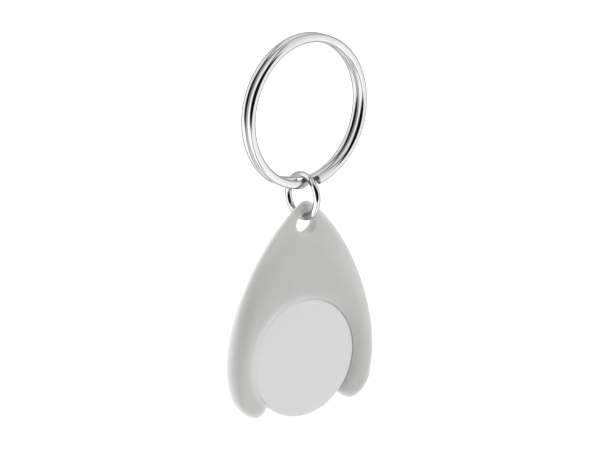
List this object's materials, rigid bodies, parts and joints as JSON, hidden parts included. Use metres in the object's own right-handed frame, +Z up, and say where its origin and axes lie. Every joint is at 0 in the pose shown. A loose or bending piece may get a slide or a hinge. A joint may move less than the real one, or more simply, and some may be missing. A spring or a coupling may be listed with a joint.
{
  "type": "trolley coin keyring",
  "caption": "Keyring with a moulded clip that grips a coin-sized trolley token between two arms and hangs by a jump ring from a split ring.",
  "frame": {"origin": "hang point: the inside of the split ring's top, where a hook, nail or finger carries the keyring", "axes": "+Z up, the keyring hangs along -Z; the holder and the token lie in the XZ plane and face -Y; +X is to the right seen from the front"},
  "size_m": [0.0338, 0.0094, 0.0746],
  "materials": {
    "split_ring": "polished",
    "jump_ring": "polished",
    "coin_holder": "milky white, satin",
    "trolley_coin": "opaque white, smooth"
  },
  "bodies": {
    "key_ring": {"split_ring": "split_ring"},
    "link": {"jump_ring": "jump_ring"},
    "holder": {"coin_holder": "coin_holder"},
    "token": {"trolley_coin": "trolley_coin"}
  },
  "joints": [
    {"name": "link_swing", "type": "hinge", "parent": "key_ring", "child": "link", "pos_m": [0, 0, -0.02702], "axis": [0.9954, 0.0958, 0], "range_deg": [-90, 90]},
    {"name": "holder_swing", "type": "hinge", "parent": "link", "child": "holder", "pos_m": [0, 0, -0.03351], "axis": [-0.0958, 0.9954, 0], "range_deg": [-60, 60]},
    {"name": "token_push", "type": "slide", "parent": "holder", "child": "token", "axis": [0, -1, 0], "range_m": [0, 0.008]}
  ]
}
